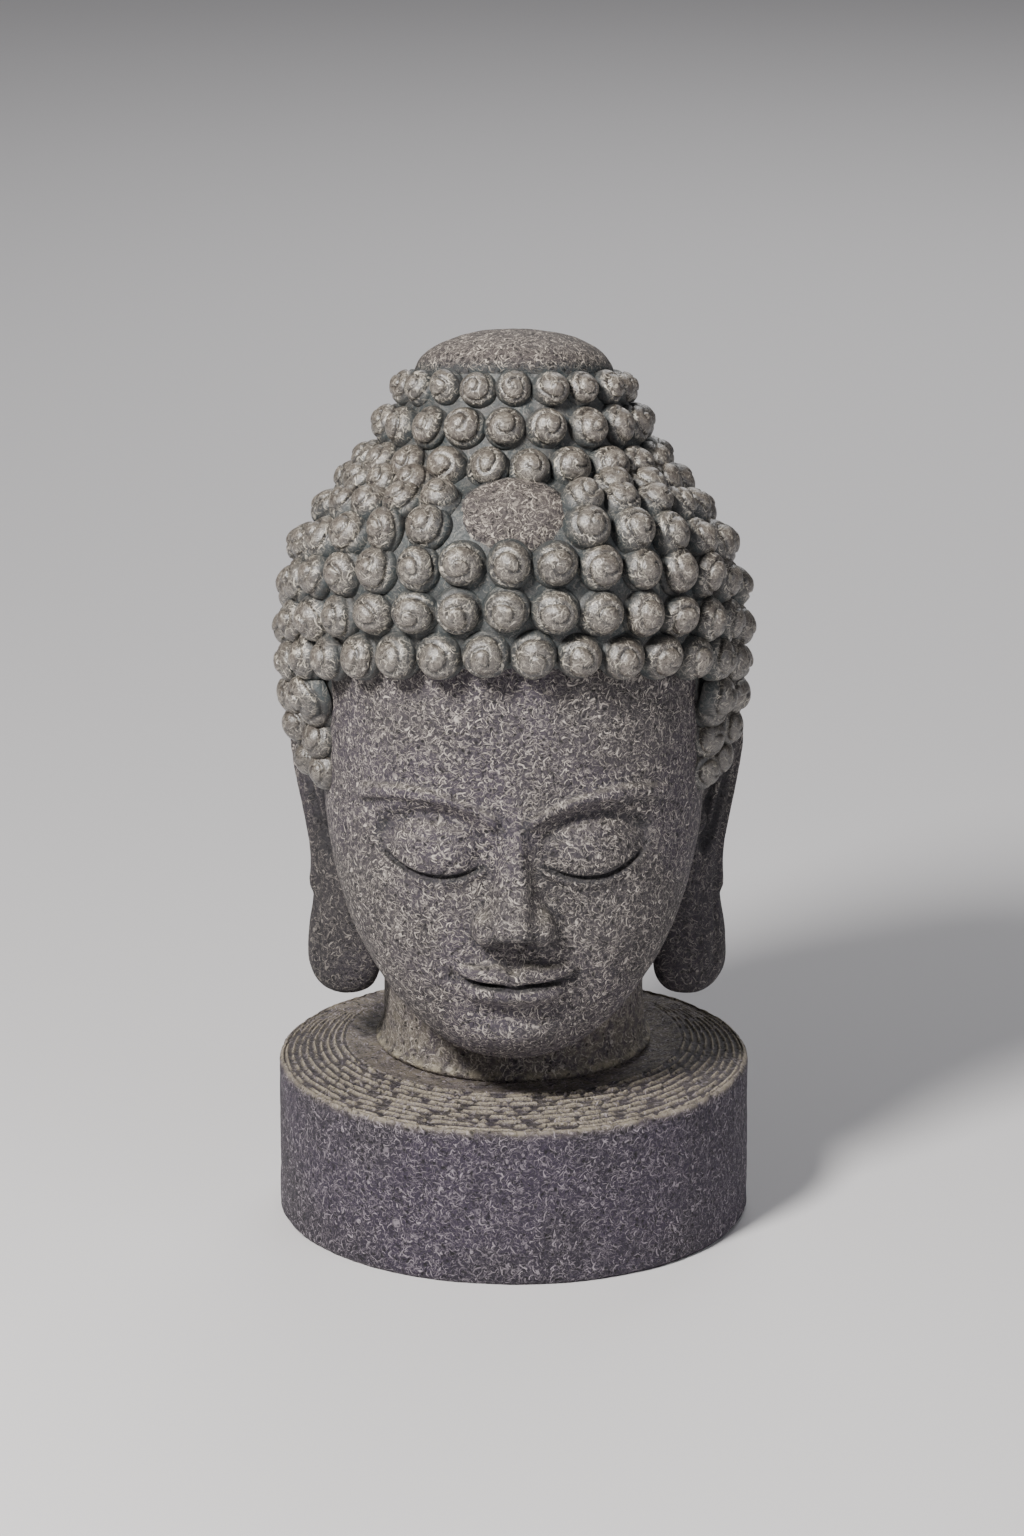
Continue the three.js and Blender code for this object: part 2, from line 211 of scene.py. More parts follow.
def head_base(x, y, z):
    """Egg with the soft fullness of muzzle, chin and cheeks, as a distance."""
    step = 0.5
    plain = egg(x, y, z)
    slope = (egg(x, y, z + step) - plain) / step
    side = np.abs(x)
    facing = smoothstep(-y, 5, 22)
    muzzle = 2.4 * bell(side, 0, 17) * bell(z, MOUTH_Z + 2, 12)
    chin = 3.4 * bell(side, 0, 10.5) * bell(z, CHIN_Z + 7, 6.5)
    cheek = 1.8 * bell(side, 24, 10) * bell(z, NOSE_BASE_Z + 6, 13)
    return plain / np.sqrt(1 + np.minimum(slope**2, 25)) - facing * (muzzle + chin + cheek)


def brow_height(side):
    return BROW_Z - 4.2 + 6.4 * np.sin(np.clip((side - 2) / 31, 0, 1) * math.pi * 0.78)


def carve_eyes(skin, x, y, z, base):
    """Arched brow, shallow socket and lowered lids, laid out on the face and in depth above it."""
    side = np.abs(x)
    aside = np.maximum(np.maximum(4.5 - side, side - 32), 0)
    ridge = distance(z - brow_height(side), base - 0.1, aside) - 1.6
    skin = smooth_min(skin, ridge, 1.2)
    middle = EYE_WIDTH + 0.8
    socket = ellipsoid(side, base, z, (middle + 0.4, 7.0, EYE_Z + 1.6), (16.2, 10.9, 10.6))
    skin = smooth_max(skin, -socket, 0.9)
    along = (side - middle) / 10.6
    margin = EYE_Z - 5.4 + 2.9 * along**2 + 0.5 * along
    upper = ellipsoid(side, base, z, (middle, -7.0, EYE_Z - 1.4), (13.6, 9.0, 9.4))
    lower = ellipsoid(side, base, z, (middle, -7.0, EYE_Z - 1.0), (13.2, 8.1, 9.6))
    upper_lid = smooth_max(upper, margin - z, 0.4)
    skin = smooth_min(skin, lower, 1.2)
    skin = smooth_min(skin, upper_lid, 0.8)
    beyond = np.maximum(np.abs(along) - 0.96, 0) * 10
    rim = distance(z - margin + 1.9 - 0.8 * along**2, skin + 0.35, beyond) - 0.95
    skin = smooth_min(skin, rim, 0.8)
    slit = np.sqrt(1.8 * (z - margin + 0.3) ** 2 + (skin - 0.2) ** 2 + beyond**2) - 0.75
    skin = smooth_max(skin, -slit, 0.3)
    fold_rise = 6.0 + 2.2 * (1 - along**2)
    fold = distance(z - margin - fold_rise, skin - 0.45, beyond) - 0.62
    return smooth_max(skin, -fold, 0.5)


def carve_nose(skin, x, y, z):
    """A roof-shaped nose with a flat ridge, rounded wings and nostrils beneath."""
    side = np.abs(x)
    tip_z = NOSE_BASE_Z + 3.4
    down = np.clip((BROW_Z - z) / (BROW_Z - tip_z), -0.3, 1.1)
    ridge_y = -43.4 - 11.0 * np.maximum(down, 0) ** 1.2 - 1.5 * np.minimum(down, 0)
    ridge_half = 1.7 + 1.5 * np.clip(down, 0, 1) ** 2
    flare = math.radians(25)
    flank = (side - ridge_half - (y - ridge_y) * math.tan(flare)) * math.cos(flare)
    roof = smooth_max(flank, ridge_y - y, 1.5)
    under = NOSE_BASE_Z + 0.9 - 0.22 * (y + 45) - z
    roof = smooth_max(roof, under, 2.6)
    roof = smooth_max(roof, y + 36, 2)
    roof = smooth_max(roof, z - BROW_Z - 3, 4)
    wings = ellipsoid(side, y, z, (5.6, -46.0, NOSE_BASE_Z + 3.6), (3.2, 4.6, 3.7))
    nose = smooth_min(roof, wings, 2.2)
    skin = smooth_min(skin, nose, 1.6)
    nostril = ellipsoid(side, y, z, (3.4, -48.6, NOSE_BASE_Z + 0.8), (1.5, 2.6, 1.8))
    return smooth_max(skin, -nostril, 0.6)


def carve_mouth(skin, x, y, z, base):
    """Closed lips with the line between them, the hollow below and the groove above."""
    side = np.abs(x)
    across = np.clip(1 - (x / MOUTH_HALF) ** 2, 0, 1)
    beyond = np.maximum(side - MOUTH_HALF, 0)
    line = MOUTH_Z + 1.5 * (x / MOUTH_HALF) ** 2
    top = line + 1.9 + 0.7 * bell(side, 3.4, 2.2) - 0.3 * bell(side, 0, 1.5)
    upper = distance(z - top, base + 0.2, beyond) - 2.7 * across**0.45 - 0.1
    lower_across = np.clip(1 - (x / (0.86 * MOUTH_HALF)) ** 2, 0, 1)
    lower = distance(z - line + 2.7, base + 0.2, beyond) - 3.5 * lower_across**0.5
    skin = smooth_min(skin, upper, 0.6)
    skin = smooth_min(skin, lower, 0.7)
    slit = np.sqrt((z - line) ** 2 * 1.6 + (skin - 0.2) ** 2 + beyond**2 * 4) - 0.95
    skin = smooth_max(skin, -slit, 0.4)
    corner = distance(side - MOUTH_HALF - 0.2, z - line, base - 0.5) - 1.25
    skin = smooth_max(skin, -corner, 1.4)
    hollow = distance(z - MOUTH_Z + 7.6, base - 3.2, np.maximum(side - 6, 0)) - 3.9
    skin = smooth_max(skin, -hollow, 2.5)
    level = np.maximum(np.abs(z - MOUTH_Z - 6.6) - 2, 0)
    philtrum = distance(x, base - 1.3, level) - 1.6
    return smooth_max(skin, -philtrum, 1.2)


def ear(x, y, z):
    """Long ear: a shell above, a strap and a broad lobe, laid out on its own slanting plane."""
    lobe = 1 - smoothstep(z, EAR_BOTTOM_Z + 9, EAR_STRAP_Z)
    shell = smoothstep(z, EAR_STRAP_Z, EAR_TOP_Z - 6)
    ends = swell((z - EAR_BOTTOM_Z + 0.8) / 8, 2, 2.6) * swell((EAR_TOP_Z + 0.6 - z) / 13, 2, 2)
    ends = ends + 1e-3
    chord = (6.4 + 2.3 * lobe + 4.8 * shell) * ends
    thickness = (3.3 + 1.1 * lobe) * ends**0.7
    splay = np.radians(40 + 22 * lobe - 16 * shell)
    dx = np.abs(x) - (38.9 - 1.2 * lobe + 4 * shell + np.sign(x) * EAR_UNEVENNESS)
    dy = y - (4 - 1.5 * lobe + 2 * shell)
    across = dx * np.cos(splay) - dy * np.sin(splay)
    length = dx * np.sin(splay) + dy * np.cos(splay)
    near = np.hypot(across / thickness, length / chord)
    body = near * (near - 1) / (np.hypot(across / thickness**2, length / chord**2) + 1e-6)
    deep = (across - thickness) / 3.0
    hollow = distance((length + 0.6) / (0.5 * chord + 0.5), deep, (z - CONCHA_Z - 1) / 14)
    body = smooth_max(body, (1 - hollow) * 2.6, 0.9)
    above = np.maximum(EAR_STRAP_Z - 4 - z, 0)
    back_rim = distance(length - 0.82 * chord, across - 0.5 * thickness, 0.5 * above) - 1.45
    body = smooth_min(body, back_rim, 0.8)
    under = np.maximum(CONCHA_Z + 4 - z, 0)
    front_rim = distance(length + 0.8 * chord, across - 0.5 * thickness, under) - 1.3
    body = smooth_min(body, front_rim, 0.8)
    tall = np.maximum(np.abs(z - CONCHA_Z - 3) - 9, 0)
    fold = distance(length - 1.6 - 0.12 * (z - CONCHA_Z), across - 0.35 * thickness, tall) - 0.9
    body = smooth_min(body, fold, 0.9)
    rise = 0.6 * (z - CONCHA_Z + 5)
    tragus = distance(length + 0.62 * chord, across - 0.8 * thickness, rise) - 1.5
    body = smooth_min(body, tragus, 1.2)
    low = np.maximum(np.abs(z - EAR_BOTTOM_Z - 15) - 9, 0)
    groove = distance(length - 0.5 * chord, across - thickness, low) - 0.9
    return smooth_max(body, -groove, 0.8)


def neck(x, y, z):
    """A leaning round neck that flares at its foot into a low bead."""
    middle = NECK_AXIS_Y + NECK_LEAN * smoothstep(z, PLINTH_TOP + 4, CHIN_Z + 40)
    flare = NECK_FOOT_FLARE * bell(z, PLINTH_TOP, 3.5)
    side = np.hypot(x, y - middle) - NECK_RADIUS - flare
    bead = np.hypot(side - 0.1, z - PLINTH_TOP - 0.1) - 0.75
    side = smooth_min(side, bead, 0.5)
    return smooth_max(side, z - CHIN_Z - 36, 1)


def head_field(x, y, z):
    """Face, ears and neck in one, cut off just inside the plinth."""
    base = head_base(x, y, z)
    skin = carve_eyes(base, x, y, z, base)
    skin = carve_nose(skin, x, y, z)
    skin = carve_mouth(skin, x, y, z, base)
    skin = smooth_min(skin, neck(x, y, z), 1.6)
    skin = smooth_min(skin, ear(x, y, z), 1.2)
    return smooth_max(skin, PLINTH_TOP - 1.4 - z, 0.3)


def graded(*runs):
    """Grid lines from several (start, end, step) runs laid end to end."""
    lines = [np.arange(start, end - 0.5 * step, step) for start, end, step in runs]
    return np.concatenate([*lines, [runs[-1][1]]]).astype(np.float32)


def sample(field, xs, ys, zs, stride=4, margin=7.0):
    """The field on the whole grid, worked out fully only near the surface."""
    def at(axes):
        return np.meshgrid(*axes, indexing="ij")

    rough = field(*at([axis[::stride] for axis in (xs, ys, zs)]))
    for direction, axis in enumerate((xs, ys, zs)):
        rough = np.repeat(rough, stride, axis=direction).take(np.arange(len(axis)), axis=direction)
    values = rough.astype(np.float32)
    close = np.nonzero(np.abs(values) < margin)
    for part in np.array_split(np.arange(len(close[0])), 12):
        i, j, k = (index[part] for index in close)
        values[i, j, k] = field(xs[i], ys[j], zs[k])
    return values


def surface_net(values, xs, ys, zs):
    """Vertices and outward quads of the zero surface of a sampled field."""
    inside = values < 0
    corners = [(i, j, k) for i in (0, 1) for j in (0, 1) for k in (0, 1)]
    shape = tuple(n - 1 for n in values.shape)

    def corner(array, offset):
        return array[tuple(slice(o, o + n) for o, n in zip(offset, shape))]

    count = sum(corner(inside, offset).astype(np.int8) for offset in corners)
    cells = np.nonzero((count > 0) & (count < 8))
    total = np.zeros((len(cells[0]), 3))
    crossings = np.zeros(len(cells[0]))
    for first in corners:
        for axis in range(3):
            if first[axis]:
                continue
            second = tuple(1 if d == axis else o for d, o in enumerate(first))
            a = values[tuple(c + o for c, o in zip(cells, first))]
            b = values[tuple(c + o for c, o in zip(cells, second))]
            crossed = (a < 0) != (b < 0)
            t = np.where(crossed, a / np.where(crossed, a - b, 1), 0)
            for d, lines in enumerate((xs, ys, zs)):
                start = lines[cells[d] + first[d]]
                end = lines[cells[d] + second[d]]
                total[:, d] += np.where(crossed, start + (end - start) * t, 0)
            crossings += crossed
    points = total / crossings[:, None]
    number = np.full(shape, -1, np.int32)
    number[cells] = np.arange(len(points))
    quads = []
    for axis in range(3):
        low = tuple(slice(1, -1) if d != axis else slice(None, -1) for d in range(3))
        high = tuple(slice(1, -1) if d != axis else slice(1, None) for d in range(3))
        changed = np.nonzero(inside[low] != inside[high])
        start = [c + (0 if d == axis else 1) for d, c in enumerate(changed)]
        u, v = (axis + 1) % 3, (axis + 2) % 3
        around = []
        for du, dv in ((-1, -1), (0, -1), (0, 0), (-1, 0)):
            place = list(start)
            place[u] = place[u] + du
            place[v] = place[v] + dv
            around.append(number[tuple(place)])
        quad = np.stack(around, 1)
        leaving = inside[tuple(start)]
        quads.append(np.where(leaving[:, None], quad, quad[:, ::-1]))
    return points, np.concatenate(quads)


def gradient(field, points, step=0.05):
    result = np.zeros_like(points)
    for axis in range(3):
        shift = np.zeros(3)
        shift[axis] = step
        ahead, behind = points + shift, points - shift
        result[:, axis] = (field(*ahead.T) - field(*behind.T)) / (2 * step)
    return result


def settle(field, points, rounds=2, reach=0.4):
    """Moves points along the gradient onto the zero surface."""
    for _ in range(rounds):
        slope = gradient(field, points)
        size = np.maximum((slope**2).sum(1), 0.05)
        step = -slope * (field(*points.T) / size)[:, None]
        length = np.linalg.norm(step, axis=1, keepdims=True)
        points = points + step * np.minimum(1, reach / np.maximum(length, 1e-9))
    return points


def relax(points, quads):
    """Moves every point to the middle of its neighbours."""
    total = np.zeros_like(points)
    count = np.zeros(len(points))
    for a, b in ((0, 1), (1, 2), (2, 3), (3, 0), (1, 0), (2, 1), (3, 2), (0, 3)):
        for axis in range(3):
            total[:, axis] += np.bincount(quads[:, a], points[quads[:, b], axis], len(points))
        count += np.bincount(quads[:, a], minlength=len(points))
    return total / np.maximum(count, 1)[:, None]


# ---- making meshes ---------------------------------------------------------------------------


def make_piece(name, points, faces, masks, material, node, slot):
    """A smooth-shaded mesh from groups of faces, each of one size, riding on the root body."""
    mesh = bpy.data.meshes.new(name)
    mesh.vertices.add(len(points))
    mesh.vertices.foreach_set("co", (np.asarray(points) * MM).astype(np.float32).ravel())
    sizes = np.concatenate([np.full(len(group), group.shape[1]) for group in faces])
    mesh.loops.add(int(sizes.sum()))
    corners = np.concatenate([group.ravel() for group in faces]).astype(np.int32)
    mesh.loops.foreach_set("vertex_index", corners)
    mesh.polygons.add(len(sizes))
    mesh.polygons.foreach_set("loop_start", (np.cumsum(sizes) - sizes).astype(np.int32))
    mesh.update(calc_edges=True)
    mesh.validate()
    for label, values in masks.items():
        layer = mesh.attributes.new(label, "FLOAT", "POINT")
        layer.data.foreach_set("value", np.asarray(values, np.float32))
    mesh.shade_smooth()
    mesh.materials.append(material)
    piece = bpy.data.objects.new(name, mesh)
    bpy.context.scene.collection.objects.link(piece)
    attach(piece, "root")
    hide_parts(node)


def grid_faces(rows, columns, offset=0):
    """Quads of a grid of rows that close round their columns, outward if rows climb anticlockwise."""
    row = np.arange(rows - 1)[:, None]
    column = np.arange(columns)[None, :]
    following = (column + 1) % columns
    a = row * columns + column
    b = row * columns + following
    quads = np.stack([a, b, b + columns, a + columns], -1).reshape(-1, 4)
    return quads + offset


# ---- hair ------------------------------------------------------------------------------------


def envelope(height):
    """Radius and slope of the hair at a height on its axis."""
    heights = HAIR_ENVELOPE[:, 1]
    tangents = np.gradient(HAIR_ENVELOPE, heights, axis=0)
    index = np.clip(np.searchsorted(heights, height) - 1, 0, len(heights) - 2)
    span = heights[index + 1] - heights[index]
    t = np.asarray((height - heights[index]) / span)[..., None]
    span = np.asarray(span)[..., None]
    start, end = HAIR_ENVELOPE[index], HAIR_ENVELOPE[index + 1]
    value = (
        (2 * t**3 - 3 * t**2 + 1) * start
        + (t**3 - 2 * t**2 + t) * span * tangents[index]
        + (3 * t**2 - 2 * t**3) * end
        + (t**3 - t**2) * span * tangents[index + 1]
    )
    return value[..., 0], value[..., 2]


def hair_surface(height, angle, inset=1.0):
    """Points on the hair at heights on its axis and angles from the front."""
    height, angle = np.broadcast_arrays(np.asarray(height, float), np.asarray(angle, float))
    radius, slope = envelope(height)
    return np.stack([
        inset * radius * np.sin(angle),
        HAIR_AXIS_Y - inset * radius * np.cos(angle),
        height + slope * radius * np.cos(angle),
    ], -1)


def unit(vectors):
    return vectors / np.maximum(np.linalg.norm(vectors, axis=-1, keepdims=True), 1e-9)


def hair_frame(height, angle):
    """Outward normal, and the directions round and up, on the hair's surface."""
    up = hair_surface(height + 0.2, angle) - hair_surface(height - 0.2, angle)
    around = hair_surface(height, angle + 0.002) - hair_surface(height, angle - 0.002)
    normal = unit(np.cross(around, up))
    around = unit(around)
    return normal, around, np.cross(normal, around)


def wrap(angle):
    return (angle + math.pi) % (2 * math.pi) - math.pi


def is_bare(height, angle):
    """Where the face and the ears leave no hair."""
    turn = np.abs(wrap(angle))
    edge = np.where(height < EAR_COVER_Z, BEHIND_EAR_ANGLE, TEMPLE_ANGLE)
    return (height < HAIR_HEM_Z) & (turn < edge)


# Rows of curls up the hair: height on the axis, how many go round, and where the first one is
# in degrees from the front. Rows beside the boss are counted from its sides instead.
FULL_ROWS = [
    (84.3, 26, 7.0),
    (92.4, 27, 0.0),
    (100.5, 28, 6.4),
    (108.6, 28, 0.0),
    (116.6, 29, 6.2),
    (124.3, 30, 4.9),
    (131.9, 30, -1.6),
    (140.2, 30, -1.1),
    (168.7, 21, 6.3),
    (176.6, 19, -3.4),
    (184.6, 19, 0.2),
]
SPLIT_ROWS = [
    (149.1, 12, 21.0, 24.5),
    (157.4, 12, 21.5, 23.0),
    (163.4, 9, 37.0, 37.0),
]


def curl_places():
    """Height, angle and pitch of every curl on the hair's surface."""
    places = []
    for height, count, first in FULL_ROWS:
        radius = float(envelope(np.array(height))[0])
        for curl in range(count):
            angle = wrap(math.radians(first + 360 * curl / count))
            if not is_bare(height, angle):
                places.append((height, angle, 2 * math.pi * radius / count))
    for height, count, right, left in SPLIT_ROWS:
        radius = float(envelope(np.array(height))[0])
        for start, hand in ((right, 1), (left, -1)):
            pitch = (180 - start) / count
            for curl in range(count + (hand > 0)):
                angle = math.radians(hand * (start + curl * pitch))
                places.append((height, angle, math.radians(pitch) * radius))
    return np.array(places)


CURL_COLUMNS = 36
CURL_RINGS = 26
CURL_WRAP = math.radians(106)
CURL_COILS = (1.75, 2.25)
LEFT_HANDED_SHARE = 0.35
ROPE_RISE = 0.04
GROOVE_DEPTH = (0.06, 0.095)
KNOB_RISE = 0.09
KNOB_REACH = 0.36
SKIRT_FLARE = 0.10
CURL_TILT = 0.09
CURL_SHIFT = 0.16
CURL_SEED = 11


def make_curls(centres, normals, rounds, ups, radii, tall, seed):
    """Snail-shell curls: domes with a rope that winds out from a small knob."""
    rng = np.random.default_rng(seed)
    n = len(centres)
    ring = np.linspace(0, 1, CURL_RINGS + 1)[1:] ** 1.08
    polar = ring[:, None] * CURL_WRAP
    turn = np.linspace(0, 2 * math.pi, CURL_COLUMNS, endpoint=False)[None, :]
    hand = rng.choice([-1, 1], (n, 1, 1), p=[LEFT_HANDED_SHARE, 1 - LEFT_HANDED_SHARE])
    start = rng.uniform(0.05, 0.5, (n, 1, 1))
    coils = rng.uniform(*CURL_COILS, (n, 1, 1))
    wobble = 0.07 * np.sin(turn * 2 + start * 17) + 0.05 * np.sin(turn * 3 + start * 41)
    phase = coils * (polar / (0.5 * math.pi)) ** 0.9 - hand * turn / (2 * math.pi) + start + wobble
    beside = np.abs((phase % 1) - 0.5) * 2
    groove = smoothstep(beside, 0.68, 0.96)
    fade = smoothstep(polar, 0.10, 0.32) * (1 - smoothstep(polar, 1.35, 1.75))
    rope = 1 - beside**2
    depth = rng.uniform(*GROOVE_DEPTH, (n, 1, 1))
    lump = 0.03 * np.sin(turn + start * 23) * np.sin(polar * 2)
    knob = KNOB_RISE * bell(polar, 0, KNOB_REACH)
    skirt = SKIRT_FLARE * smoothstep(polar, 1.2, 1.8)
    swelling = 1 + lump + fade * (ROPE_RISE * rope - depth * groove - 0.02) + knob + skirt
    r = radii[:, None, None] * swelling * rng.uniform(0.96, 1.0, (n, 1, 1))
    oval = rng.uniform(0.97, 1.05, (n, 1, 1))
    a = r * np.sin(polar) * np.cos(turn) / oval
    b = r * np.sin(polar) * np.sin(turn) * oval
    c = r * np.cos(polar) * tall[:, None, None]
    tilt = rng.normal(0, CURL_TILT, (2, n, 1, 1))
    c = c + tilt[0] * a + tilt[1] * b
    shift = rng.normal(0, CURL_SHIFT, (n, 3))
    spread = (
        (centres + shift)[:, None, None, :]
        + a[..., None] * rounds[:, None, None, :]
        + b[..., None] * ups[:, None, None, :]
        + c[..., None] * normals[:, None, None, :]
    )
    crown = centres + shift + normals * (radii * tall * 1.06)[:, None]
    points = np.concatenate([crown[:, None, :], spread.reshape(n, -1, 3)], 1)
    per_curl = points.shape[1]
    points = points.reshape(-1, 3)
    outward = unit(points - np.repeat(centres, per_curl, 0))
    points = points + outward * (0.07 * noise(points, 3.2, seed + 1))[:, None]
    # Painted shade with the patina on each curl's lower flanks (hollow), and a painted highlight with
    # the wear on its crown and rope (worn).
    hollow = smoothstep(polar, 0.85, 1.5) + 0 * phase
    worn_and_highlit = np.clip((1 - smoothstep(polar, 0.3, 1.25)) * (0.25 + 0.75 * rope), 0, 1) + 0 * phase
    per_point = [
        np.concatenate([np.full((n, 1), value), mask.reshape(n, -1)], 1).ravel()
        for value, mask in ((0.0, hollow), (1.0, worn_and_highlit), (0.0, np.clip(groove * fade, 0, 1)))
    ]
    rim = np.arange(CURL_COLUMNS)
    fan = np.stack([rim + 1, (rim + 1) % CURL_COLUMNS + 1, np.zeros_like(rim)], -1)
    sides = grid_faces(CURL_RINGS, CURL_COLUMNS, 1)[:, ::-1]
    offset = (np.arange(n) * per_curl)[:, None, None]
    faces = [(fan[None] + offset).reshape(-1, 3), (sides[None] + offset).reshape(-1, 4)]
    return points, faces, dict(zip(("cavity", "wear", "groove"), per_point))


# Curls that come down before each ear: distance from the middle, y and z.
SIDE_LOCKS = [
    (45.4, -6.6, 119.6),
    (41.0, -14.4, 118.4),
    (45.0, -7.2, 112.4),
    (40.7, -13.6, 111.0),
    (43.2, -8.4, 105.2),
    (39.6, -13.4, 104.0),
]
SIDE_LOCK_RADIUS = 4.5
SIDE_LOCK_PAINTED_SHADE = 0.5
SIDE_LOCK_SEED = 31


def build_hair(material):
    """All curls: four pieces from the nape up, and the small ones before the ears."""
    places = curl_places()
    height, angle, pitch = places.T
    centres = hair_surface(height, angle)
    normals, rounds, ups = hair_frame(height, angle)
    radii = CURL_PLUMPNESS * pitch
    tall = CURL_TALLNESS + CURL_TALLER_IN_FRONT * np.maximum(np.cos(angle), 0)
    groups = {
        "curls_nape": height < 112,
        "curls_hairline": (height > 112) & (height < 136),
        "curls_middle": (height > 136) & (height < 160),
        "curls_crown": height > 160,
    }
    curls = (centres, normals, rounds, ups, radii, tall)
    for number, (name, chosen) in enumerate(groups.items()):
        made = make_curls(*(each[chosen] for each in curls), CURL_SEED + number)
        make_piece(name, *made, material, "head", "carved_stone")

    locks = np.array([(side * x, y, z) for side in (-1, 1) for x, y, z in SIDE_LOCKS])
    count = len(locks)
    out = unit(np.stack([0.7 * locks[:, 0], np.full(count, -26.0), np.full(count, 4.0)], -1))
    around = unit(np.cross([0, 0, 1.0], out))
    radii = np.full(count, SIDE_LOCK_RADIUS)
    points, faces, masks = make_curls(
        locks, out, around, np.cross(out, around), radii, np.ones(count), SIDE_LOCK_SEED
    )
    # Painted shade: every side lock is darkened all over.
    masks["soot_and_painted_shade"] = np.full(len(points), SIDE_LOCK_PAINTED_SHADE)
    make_piece("curls_side_locks", points, faces, masks, material, "head", "carved_stone")


SCALP_COLUMNS = 240
SCALP_LEVELS = 100
SCALP_FOOT_Z = 80.5
SCALP_TUCK = 0.6
SCALP_SINK = 0.55
SCALP_RAISE = 0.6
BOSS_CLEARANCE = 0.9
TEMPLE_SINK = 2.6


def build_scalp(material):
    """The ground between the curls, tucked into the head where the skin is bare."""
    heights = np.linspace(SCALP_FOOT_Z, HAIR_ENVELOPE[-1, 1], SCALP_LEVELS)[:, None]
    angles = np.linspace(-math.pi, math.pi, SCALP_COLUMNS, endpoint=False)[None, :]
    heights, angles = np.broadcast_arrays(heights, angles)
    bare = is_bare(heights, angles)
    points = hair_surface(heights, angles, np.where(bare, SCALP_TUCK, 1.0))
    normals = hair_frame(heights, angles)[0]
    flat = points.reshape(-1, 3)
    covered = ~bare.reshape(-1)
    beside_boss = bell(np.linalg.norm(flat - (0, BOSS_Y, BOSS_Z), axis=1), 0, 13)
    temple = bell(np.abs(angles) - TEMPLE_ANGLE, 0, 0.15) * (heights < HAIR_HEM_Z)
    lift = SCALP_RAISE * covered - BOSS_CLEARANCE * beside_boss - TEMPLE_SINK * temple.ravel()
    lift = lift - SCALP_SINK + 0.35 * noise(flat, 3.2, 5) + 0.2 * noise(flat, 1.4, 6)
    flat = flat + normals.reshape(-1, 3) * lift[:, None]
    # Patina with painted shade over the whole ground, and painted shade with soot below the
    # hairline's hem.
    low = 1 - smoothstep(flat[:, 2], HAIR_HEM_Z - 3, HAIR_HEM_Z + 6)
    masks = {"cavity": np.ones(len(flat)), "wear": np.zeros(len(flat)), "soot_and_painted_shade": 0.8 * low}
    faces = [grid_faces(SCALP_LEVELS, SCALP_COLUMNS)]
    make_piece("scalp", flat, faces, masks, material, "head", "carved_stone")


CAP_COLUMNS = 144
CAP_RINGS = 44


def build_cap(material):
    """The smooth dome on top of the hair, with a soft roll where it meets the last curls."""
    foot_radius, foot_height, slope = HAIR_ENVELOPE[-1]
    lift = np.linspace(-0.22, 1, CAP_RINGS)[:, None] * (0.5 * math.pi)
    angles = np.linspace(-math.pi, math.pi, CAP_COLUMNS, endpoint=False)[None, :]
    radius = foot_radius * np.maximum(np.cos(lift), 0.004) ** 0.96
    points = np.stack([
        radius * np.sin(angles),
        HAIR_AXIS_Y - radius * np.cos(angles),
        foot_height + CAP_HEIGHT * np.sin(lift) + slope * radius * np.cos(angles),
    ], -1)
    flat = points.reshape(-1, 3)
    out = unit(flat - np.array([0, HAIR_AXIS_Y, foot_height - 14]))
    flat = flat + out * (0.22 * noise(flat, 7, 8) + 0.1 * noise(flat, 2.2, 9) - 0.3)[:, None]
    # Patina with painted shade round the cap's foot, where it meets the last curls.
    edge = (1 - smoothstep(lift, 0.0, 0.42)) + 0 * angles
    masks = {"cavity": edge.ravel(), "wear": (1 - edge).ravel() * 0.12}
    last = len(flat) - CAP_COLUMNS
    faces = [grid_faces(CAP_RINGS, CAP_COLUMNS), np.arange(last, len(flat))[None, :]]
    make_piece("cap", flat, faces, masks, material, "head", "carved_stone")


BOSS_COLUMNS = 96
BOSS_RINGS = 30


def build_boss(material):
    """The smooth oval mound above the forehead."""
    normal = np.array([0, -math.sin(BOSS_TILT), math.cos(BOSS_TILT)])
    up = np.array([0, math.cos(BOSS_TILT), math.sin(BOSS_TILT)])
    share = np.linspace(0.004, 1.22, BOSS_RINGS)[:, None]
    turn = np.linspace(0, 2 * math.pi, BOSS_COLUMNS, endpoint=False)[None, :]
    dome = np.clip(1 - np.minimum(share, 1) ** 2.3, 0, 1) ** 0.62
    rise = BOSS_HEIGHT * dome - 16 * np.maximum(share - 0.97, 0) + 0 * turn
    a = BOSS_HALF_WIDTH * share * np.cos(turn)
    b = BOSS_HALF_LENGTH * share * np.sin(turn)
    points = (
        np.array([0, BOSS_Y, BOSS_Z])
        + a[..., None] * np.array([1.0, 0, 0])
        + b[..., None] * up
        + rise[..., None] * normal
    ).reshape(-1, 3)
    points = points + normal * (0.3 * noise(points, 4.5, 14) + 0.16 * noise(points, 1.6, 15))[:, None]
    # Patina with painted shade round the boss's edge.
    edge = smoothstep(share, 0.8, 1.0) + 0 * turn
    masks = {"cavity": edge.ravel(), "wear": 0.12 * (1 - edge).ravel()}
    faces = [grid_faces(BOSS_RINGS, BOSS_COLUMNS)[:, ::-1], np.arange(BOSS_COLUMNS)[None, :]]
    make_piece("boss", points, faces, masks, material, "head", "carved_stone")


# ---- head ------------------------------------------------------------------------------------

HEAD_GRID = 0.61
# How far out from the skin its hollows are felt for, and the weight of each.
HOLLOW_PROBES = ((0.8, 0.9), (1.8, 0.8), (3.5, 0.5))


